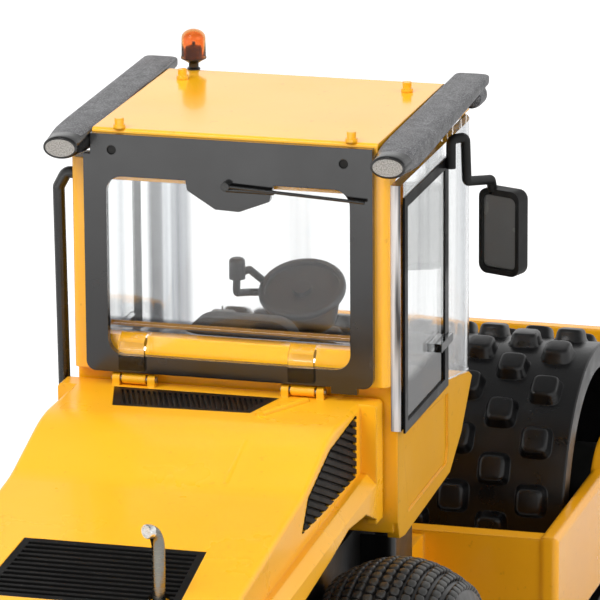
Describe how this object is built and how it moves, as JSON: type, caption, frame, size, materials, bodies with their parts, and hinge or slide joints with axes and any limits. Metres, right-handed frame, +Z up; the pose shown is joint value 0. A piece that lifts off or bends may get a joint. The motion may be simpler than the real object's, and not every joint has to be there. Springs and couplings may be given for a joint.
{
  "type": "toy road roller",
  "caption": "Articulated toy soil compactor with a padfoot drum in a front frame, a glazed cab and a hinged engine hood.",
  "frame": {"origin": "on the ground under the middle of the model's length and width", "axes": "+X to the machine's right, +Y forwards towards the drum, +Z up"},
  "size_m": [0.0464, 0.122, 0.068],
  "materials": {
    "yellow_paint": "gloss",
    "black_paint": "satin",
    "drum_black": "satin",
    "rim_paint": "gloss",
    "tyre_rubber": "matte",
    "steel": "satin",
    "engine_grey": "satin",
    "black_plastic": "matte",
    "charcoal_plastic": "satin",
    "rail_grey": "speckled satin",
    "seat_black": "satin",
    "black_gloss": "gloss",
    "clear_glass": "clear plastic glazing",
    "lamp_silver": "faceted silver",
    "amber": "translucent",
    "mirror": "polished",
    "chrome_trim": "polished",
    "red_lamp": "gloss"
  },
  "bodies": {
    "rear_frame": {"axle_housing": "black_paint", "steering_pin": "steel", "ram_barrels": "black_paint", "rear_chassis": "black_paint", "counterweight": "black_paint", "side_tanks": "black_paint", "engine_block": "engine_grey", "rocker_cover": "black_plastic", "radiator": "engine_grey", "cooling_fan": "black_plastic", "air_filter": "black_plastic", "cab_shell": "yellow_paint", "cab_floor": "black_plastic", "cab_mounts": "tyre_rubber", "rear_window_surround": "charcoal_plastic", "surround_screws": "black_plastic", "rear_window_glass": "clear_glass", "side_windows": "clear_glass", "windscreen": "clear_glass", "door_frames": "black_gloss", "roof_rail_left": "rail_grey", "roof_rail_right": "rail_grey", "work_lamp_lenses": "lamp_silver", "roof_bolts": "yellow_paint", "beacon_base": "black_gloss", "beacon_lens": "amber", "rear_wiper": "black_gloss", "handrail_left": "black_gloss", "mirror_arm": "black_plastic", "mirror_housing": "black_plastic", "mirror_glass": "mirror", "seat_base": "black_plastic", "driver_seat": "seat_black", "control_box": "black_plastic", "steering_column": "black_gloss", "steering_wheel": "black_gloss", "travel_lever": "black_gloss", "hood_hinge_pins": "steel"},
    "hood": {"hood": "yellow_paint", "hood_side_grilles": "black_plastic", "hood_top_grille": "black_plastic", "hood_rear_grille": "black_plastic", "exhaust_pipe": "chrome_trim", "tail_lamps": "red_lamp"},
    "rear_wheels": {"rear_axle": "steel", "rear_rim_left": "rim_paint", "rear_rim_right": "rim_paint", "rear_tyre_left": "tyre_rubber", "rear_tyre_right": "tyre_rubber"},
    "yoke": {"articulation_yoke": "black_paint", "trunnion_nut": "steel"},
    "front_frame": {"front_frame": "yellow_paint", "drum_motors": "black_paint", "drum_scrapers": "black_paint"},
    "drum": {"drum_shell": "drum_black", "drum_end_plates": "drum_black", "drum_shaft": "steel"},
    "ram_rod_left": {"ram_rod_left": "steel"},
    "ram_rod_right": {"ram_rod_right": "steel"}
  },
  "joints": [
    {"name": "steer", "type": "hinge", "parent": "rear_frame", "child": "yoke", "pos_m": [0, 0.003, 0.014], "axis": [0, 0, 1], "range_deg": [-35, 35]},
    {"name": "oscillation", "type": "hinge", "parent": "yoke", "child": "front_frame", "pos_m": [0, 0.0116, 0.014], "axis": [0, 1, 0], "range_deg": [-10, 10]},
    {"name": "drum_spin", "type": "hinge", "parent": "front_frame", "child": "drum", "pos_m": [0, 0.0415, 0.0158], "axis": [1, 0, 0], "continuous": true},
    {"name": "wheels_spin", "type": "hinge", "parent": "rear_frame", "child": "rear_wheels", "pos_m": [0, -0.021, 0.0138], "axis": [1, 0, 0], "continuous": true},
    {"name": "hood_open", "type": "hinge", "parent": "rear_frame", "child": "hood", "pos_m": [0, -0.0144, 0.0409], "axis": [-1, 0, 0], "range_deg": [0, 50]},
    {"name": "ram_slide_right", "type": "slide", "parent": "rear_frame", "child": "ram_rod_right", "axis": [0, 1, 0], "range_m": [-0.0034, 0.0034]},
    {"name": "ram_slide_left", "type": "slide", "parent": "rear_frame", "child": "ram_rod_left", "axis": [0, 1, 0], "range_m": [-0.0034, 0.0034]}
  ],
  "couplings": [
    {"joint": "ram_slide_right", "follows": "steer", "m_per_rad": 0.0052},
    {"joint": "ram_slide_left", "follows": "steer", "m_per_rad": -0.0052}
  ]
}
